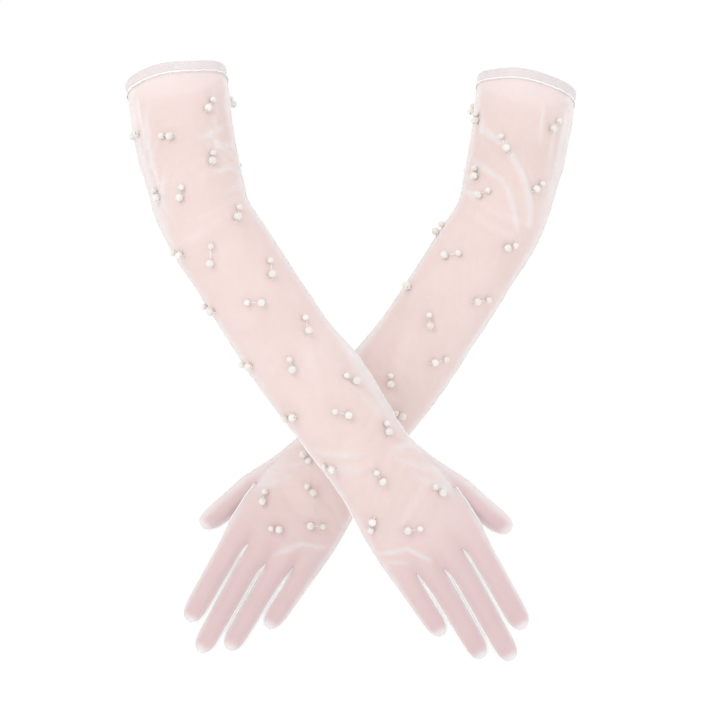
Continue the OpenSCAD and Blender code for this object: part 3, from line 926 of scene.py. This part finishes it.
def on_upper(ob, side):
    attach(ob, f"{side}_upper")


def over_elbow(ob, side):
    fasten(ob, side, "upper", "forearm",
           ELBOW - ELBOW_REACH * UPPER_DIR, ELBOW + ELBOW_REACH * FOREARM_DIR)


def over_wrist(ob, side):
    fasten(ob, side, "forearm", "hand",
           WRIST - WRIST_REACH * FOREARM_DIR, WRIST + WRIST_REACH * HAND_DIR)


def over_knuckle(name):
    """The placing step for pieces on a finger's or the thumb's stall, with the two ends over its joint."""
    place, down, _, _ = stall_frame(name)
    ends = place + START[name] * down, place + (START[name] + KNUCKLE_REACH) * down
    return lambda ob, side: fasten(ob, side, "hand", name, *ends)


PANELS = {"upper": ("upper_back_panel", "upper_palm_panel"),
          "lower": ("forearm_back_panel", "forearm_palm_panel", "hand_back_panel", "hand_palm_panel")}
SEAMS = {"upper": ("upper_seams",), "lower": ("forearm_seams", "hand_seams")}
OVER = {"upper": over_elbow, "lower": over_wrist, **{name: over_knuckle(name) for name in STALLS}}


# ---- sewn details


class Strands:
    """Tubes of thread and other small shapes gathered into one mesh."""

    def __init__(self):
        self.points, self.faces = [], []

    def tube(self, path, radius, sides=6, normals=None):
        """A tube along a path, with pointed ends."""
        path = np.asarray(path, float)
        count = len(path)
        along = np.gradient(path, axis=0)
        along /= np.linalg.norm(along, axis=1)[:, None]
        if normals is None:
            normals = np.empty_like(path)
            normal = np.array([0.3, 1.0, 0.2])
            for k in range(count):
                normal = unit(normal - (normal @ along[k]) * along[k])
                normals[k] = normal
        side = np.cross(along, normals)
        side /= np.linalg.norm(side, axis=1)[:, None]
        up = np.cross(side, along)
        turn = 2 * math.pi * np.arange(sides) / sides
        first = len(self.points)
        for k in range(count):
            ring = np.outer(np.cos(turn), up[k]) + np.outer(np.sin(turn), side[k])
            self.points.extend(path[k] + radius * ring)
        self.bands(first, count, sides)
        for k, way in ((0, -1), (count - 1, 1)):
            tip = len(self.points)
            self.points.append(path[k] + way * 0.8 * radius * along[k])
            start = first + k * sides
            for a in range(sides):
                pair = [start + a, start + (a + 1) % sides]
                self.faces.append([tip, *pair[::-way]])

    def bands(self, first, count, sides):
        """Faces between rings of points that follow each other from the first point."""
        for row in range(first, first + (count - 1) * sides, sides):
            for a in range(sides):
                b = (a + 1) % sides
                self.faces.append([row + a, row + sides + a, row + sides + b, row + b])

    def make(self, name, material):
        """A smooth object of all the shapes, in metres."""
        ob = mesh_object(name, np.array(self.points) * MM, self.faces)
        ob.data.materials.append(material)
        return ob


def even_path(path, normals, step):
    """A path and its normals at even steps."""
    path, normals = np.asarray(path, float), np.asarray(normals, float)
    lengths = np.linalg.norm(np.diff(path, axis=0), axis=1)
    at = np.concatenate([[0], np.cumsum(lengths)])
    count = max(int(round(at[-1] / step)), 2)
    want = np.linspace(0, at[-1], count + 1)
    new = np.stack([np.interp(want, at, path[:, k]) for k in range(3)], axis=1)
    up = np.stack([np.interp(want, at, normals[:, k]) for k in range(3)], axis=1)
    up /= np.linalg.norm(up, axis=1)[:, None]
    return new, up


OVERLOCK_PITCH = 1.7
OVERLOCK_STEP = 0.24
OVERLOCK_RISE = 0.3     # how far the ridge's middle stands off the tulle


def overlock(strands, path, normals):
    """An overlocked seam: a narrow raised ridge with thread wound round it."""
    core, up = even_path(path, normals, 1.2)
    strands.tube(core + OVERLOCK_RISE * up, 0.52, normals=up)
    fine, up = even_path(path, normals, OVERLOCK_STEP)
    along = np.gradient(fine, axis=0)
    side = np.cross(along, up)
    side /= np.linalg.norm(side, axis=1)[:, None]
    turn = 2 * math.pi * OVERLOCK_STEP * np.arange(len(fine)) / OVERLOCK_PITCH
    round_it = np.cos(turn)[:, None] * up + np.sin(turn)[:, None] * side
    strands.tube(fine + OVERLOCK_RISE * up + 0.68 * round_it, 0.15, 4, normals=up)


# The lines of points down each stall that its seam follows, down one and up the other
SEAM_SIDES = {"index": (29, 17), "middle": (25, 14), "ring": (25, 14), "little": (25, 13),
              "thumb": (46, 26)}


def seam_paths(grid):
    """The seams of one glove as rows of the fabric's point numbers, by piece."""
    top, bottom = THUMB_RINGS
    split = next(r for r, s in enumerate(RINGS) if s >= SPLIT_AT)
    hem = next(r for r, s in enumerate(RINGS) if s >= HEM_DEPTH)
    paths = {"upper": [[grid[r][c] for r in range(hem, split + 1)] for c in (0, HALF)]}
    paths["lower"] = [
        [grid[r][0] for r in range(split, top + 1)],
        [grid[r][0] for r in range(bottom, len(grid))],
        [grid[r][HALF] for r in range(split, len(grid))]]
    for name, sides in SEAM_SIDES.items():
        rows = STALL_ROWS[name]
        base = MERGE[name]
        for k in sides:
            paths["lower"].append([rows[j][k] for j in range(base + 1)])
        near, far = sides
        down, up = ([row[k] for row in rows[base:]] for k in sides)
        tip = rows[-1]
        step = 1 if (far - near) % len(tip) < len(tip) / 2 else -1
        count = (far - near) * step % len(tip)
        over = [tip[(near + step * k) % len(tip)] for k in range(1, count)]
        paths[name] = [down + over[::2] + up[::-1]]
    return paths


def make_seams(side, whole, grid):
    """Overlocked seams along both edges of a glove and round its fingers."""
    points = vertex_rows(whole.data, "co") / MM
    normals = vertex_rows(whole.data, "normal")
    for label, paths in seam_paths(grid).items():
        strands = Strands()
        for path in paths:
            overlock(strands, points[path], normals[path])
        ob = strands.make(f"{side}_{label}_overlock", THREAD)
        tie(ob, side, OVER[label], SEAMS.get(label, (f"{label}_seam",)))


HEM_ROWS = 7
FOLD_DEPTH = 9.3        # how far the folded hem reaches down from the cuff's edge
HEM_OUT = 0.55          # how far the folded hem stands off the tulle
STITCH_DROP = 8.0
STITCH_PITCH = 3.3
STITCH_LENGTH = 3.1


def hem_point(side, s, column, out):
    """A point on the hem at any column, even between two of the fabric's columns."""
    low = math.floor(column)
    both = []
    for c in (low, low + 1):
        point = sleeve_point(s, c % COLUMNS)
        both.append(point + cuff_shift(side, s, c, point))
    point = both[0] + (column - low) * (both[1] - both[0])
    place = spine(s)[0]
    return point + out * unit(point - place)


def make_hem(side):
    """The folded hem band."""
    profile = [(FOLD_DEPTH * (1 - k / HEM_ROWS), HEM_OUT) for k in range(HEM_ROWS)]
    profile += [(0.25, 0.5), (0.0, 0.3), (-0.12, 0.0), (0.0, -0.3), (0.25, -0.5)]
    profile += [(FOLD_DEPTH * k / HEM_ROWS, -HEM_OUT) for k in range(1, HEM_ROWS + 1)]
    skin = Skin()
    columns = 2 * COLUMNS
    rows = []
    marks = [0.0]
    for (s, out), (t, far) in zip(profile, profile[1:]):
        marks.append(marks[-1] + math.hypot(t - s, far - out))
    for s, out in profile:
        ripple = 0.12 if s > 1 else 0.0
        rows.append(skin.row([
            hem_point(side, max(s, 0.0), c / 2, out + ripple * math.sin(c * 0.9 + 0.5 * s))
            + min(s, 0.0) * UPPER_DIR for c in range(columns)]))
    for r in range(len(rows) - 1):
        for c in range(columns):
            skin.quad(rows, r, c, lambda u, v: (u * COLUMN_MM / 2, marks[v]))
    flip = side == "right"
    hem = mesh_object(f"{side}_hem_fold", to_side(skin.points, side), flipped(skin.faces, flip))
    set_weave(hem, flipped(skin.weave, flip))
    hem.data.materials.append(HEM_NET)
    tie(hem, side, on_upper, ("hem_band",))
    return hem


def make_hem_stitches(side):
    """The row of running stitches that holds the hem."""
    stitches = Strands()
    count = int(round(2 * math.pi * CUFF_RADIUS / STITCH_PITCH))
    reach = STITCH_LENGTH / 2 * COLUMNS / (2 * math.pi * CUFF_RADIUS)
    for k in range(count):
        middle = (k + 0.5) * COLUMNS / count
        drop = STITCH_DROP + 0.12 * math.sin(k * 2.4)
        path = []
        for t in np.linspace(-1, 1, 7):
            rise = HEM_OUT + 0.05 + 0.3 * math.sqrt(max(1 - t * t, 0.0))
            path.append(hem_point(side, drop, middle + reach * t, rise))
        stitches.tube(to_side(path, side) / MM, 0.46)
    ob = stitches.make(f"{side}_hem_stitches", THREAD)
    tie(ob, side, on_upper, ("hem_stitching",))


def loose_parts(ob):
    """The centre and radius of each loose part of a CAD node, in millimetres."""
    co = vertex_rows(ob.data, "co") / MM
    root = list(range(len(co)))

    def find(i):
        while root[i] != i:
            root[i] = root[root[i]]
            i = root[i]
        return i

    for edge in ob.data.edges:
        a, b = (find(i) for i in edge.vertices)
        root[a] = b
    groups = {}
    for i in range(len(co)):
        groups.setdefault(find(i), []).append(i)
    parts = []
    for members in groups.values():
        low, high = co[members].min(axis=0), co[members].max(axis=0)
        parts.append(((low + high) / 2, float((high - low).max()) / 2))
    return sorted(parts, key=lambda p: tuple(np.round(p[0], 3)))


PEARL_SIDES = 20
PEARL_RINGS = 12
DRILL = 0.16            # the drilled hole's radius, as a part of the pearl's
BULGE = 0.985           # the pearl's half length, as a part of its radius
THREAD_RADIUS = 0.17


def add_pearl(strands, centre, radius, axis):
    """A drilled pearl with a rolled-in hole at both ends of its axis."""
    axis = unit(axis)
    first = unit(np.cross(axis, (0.31, 0.52, 0.79)))
    second = np.cross(axis, first)
    profile = [(0.55, DRILL * 0.85)]
    least = math.asin(DRILL)
    for k in range(PEARL_RINGS + 1):
        polar = least + (math.pi - 2 * least) * k / PEARL_RINGS
        profile.append((math.cos(polar) * BULGE, math.sin(polar)))
    profile.append((-0.55, DRILL * 0.85))
    start = len(strands.points)
    for height, wide in profile:
        for a in range(PEARL_SIDES):
            turn = 2 * math.pi * a / PEARL_SIDES
            around = math.cos(turn) * first + math.sin(turn) * second
            strands.points.append(centre + radius * (height * axis + wide * around))
    strands.bands(start, len(profile), PEARL_SIDES)


def sew_down(strands, centre, radius, foot, up, out, step):
    """The thread that steps out of a pearl's outer side and goes down through the tulle."""
    edge = centre + out * 0.97 * radius
    dip = foot + (radius + 0.9) * out + 0.05 * up
    strands.tube([centre + 0.5 * radius * out, edge, edge + step * out - 0.35 * radius * up,
                  dip, dip - 0.6 * up], THREAD_RADIUS)


def make_pearls(side, pieces):
    """Pairs of pearls sewn to the tulle, each pair with its own stitches."""
    nodes = frame["nodes"]
    trees = {}
    for label in ("upper", "lower"):
        mesh = pieces[label].data
        trees[label] = BVHTree.FromPolygons(
            [v.co / MM for v in mesh.vertices], [p.vertices[:] for p in mesh.polygons])
    pearls = {"upper": Strands(), "lower": Strands()}
    threads = {"upper": Strands(), "lower": Strands()}

    def settle(label, centre, radius):
        point, normal, _, _ = trees[label].find_nearest(Vector(centre))
        point, normal = np.array(point), np.array(normal)
        if (centre - point) @ normal < 0:
            normal = -normal
        return point, normal, point + (radius + 0.12) * normal

    for body in ("upper", "forearm", "hand"):
        large = loose_parts(nodes[f"{side}_{body}_large_pearls"])
        small = loose_parts(nodes[f"{side}_{body}_small_pearls"])
        for centre, radius in large:
            mate, mate_radius = min(small, key=lambda p: np.linalg.norm(p[0] - centre))
            label = min(trees, key=lambda k: trees[k].find_nearest(Vector(centre))[3])
            foot, up, a = settle(label, centre, radius)
            mate_foot, mate_up, b = settle(label, mate, mate_radius)
            axis = unit(b - a)
            add_pearl(pearls[label], a, radius, axis)
            add_pearl(pearls[label], b, mate_radius, axis)
            sew_down(threads[label], a, radius, foot, up, -axis, 0.55)
            sew_down(threads[label], b, mate_radius, mate_foot, mate_up, axis, 0.5)
            middle = (a + radius * axis + b - mate_radius * axis) / 2
            ends = a + 0.5 * radius * axis, b - 0.5 * mate_radius * axis
            threads[label].tube([ends[0], middle, ends[1]], THREAD_RADIUS)
    for label, bodies in (("upper", ("upper",)), ("lower", ("forearm", "hand"))):
        beads = pearls[label].make(f"{side}_{label}_pearls", PEARL)
        loops = threads[label].make(f"{side}_{label}_pearl_stitches", THREAD)
        nodes = [f"{body}_{size}_pearls" for body in bodies for size in ("large", "small")]
        tie(beads, side, OVER[label], nodes)
        tie(loops, side, OVER[label], ())


# ---- the camera and the stage

PICTURE_MM = 540.0      # width of the picture at the gloves' middle plane
DISTANCE = 3000.0
AIM = np.array([137.0, (CUFF[1] + LEFT_CUFF[1]) / 2 - 27, -210.0])


def make_camera():
    data = bpy.data.cameras.new("camera")
    data.sensor_width = 36.0
    data.lens = 36.0 / PICTURE_MM * DISTANCE
    data.clip_end = 50
    ob = add_object("camera", data)
    ob.location = Vector((AIM + (0, -DISTANCE, 0)) * MM)
    ob.rotation_euler = (math.radians(90), 0, 0)
    bpy.context.scene.camera = ob


def area_light(name, place, aim, size, watts, colour):
    data = bpy.data.lights.new(name, "AREA")
    data.shape = "DISK"
    data.size = size
    data.energy = watts
    data.color = colour
    ob = add_object(name, data)
    ob.location = Vector(place)
    ob.rotation_euler = (Vector(aim) - Vector(place)).to_track_quat("-Z", "Y").to_euler()


def make_stage():
    """A wide pale floor, a pale sky and soft lights."""
    scene = bpy.context.scene
    world = bpy.data.worlds.new("studio")
    scene.world = world
    world.use_nodes = True
    background = world.node_tree.nodes["Background"]
    background.inputs["Color"].default_value = (1.0, 1.0, 1.0, 1)
    background.inputs["Strength"].default_value = 1.02
    scene.view_settings.view_transform = "Standard"
    scene.cycles.transparent_max_bounces = 32
    floor = mesh_object("floor", [(-9, -9, -0.62), (9, -9, -0.62), (9, 9, -0.62), (-9, 9, -0.62)],
                        [(0, 1, 2, 3)])
    m = Nodes("floor_paper")
    grain = m.noise(m.place(), 3.0)
    m.feed("Base Color", m.mix(grain, (0.975, 0.975, 0.975), (0.99, 0.99, 0.99)))
    m.set(Roughness=0.9)
    floor.data.materials.append(m.material)
    aim = tuple(AIM * MM)
    area_light("key", (-0.9, -1.5, 0.9), aim, 0.9, 8, (1.0, 0.98, 0.96))
    area_light("fill", (1.6, -1.2, 0.1), aim, 1.4, 2, (0.97, 0.98, 1.0))
    area_light("back", (0.5, 1.8, 0.8), aim, 1.2, 3, (1.0, 0.99, 0.98))


# ---- the gloves


def make_glove(side):
    whole, grid = make_fabric(side)
    hem_points = sorted({i for r, s in enumerate(RINGS) if s < HEM_DEPTH for i in grid[r]})
    relax(whole, 3, hem_points)
    drape(whole, grid, hem_points)
    relax(whole, 1, hem_points)
    make_finer(whole)
    pieces = split_pieces(whole, side)
    for label, ob in pieces.items():
        tie(ob, side, OVER[label], PANELS.get(label, (f"{label}_stall",)))
    make_seams(side, whole, grid)
    bpy.data.objects.remove(whole)
    hem = make_hem(side)
    make_hem_stitches(side)
    make_pearls(side, pieces)


make_camera()
make_stage()
for glove_side in SIDES:
    make_glove(glove_side)
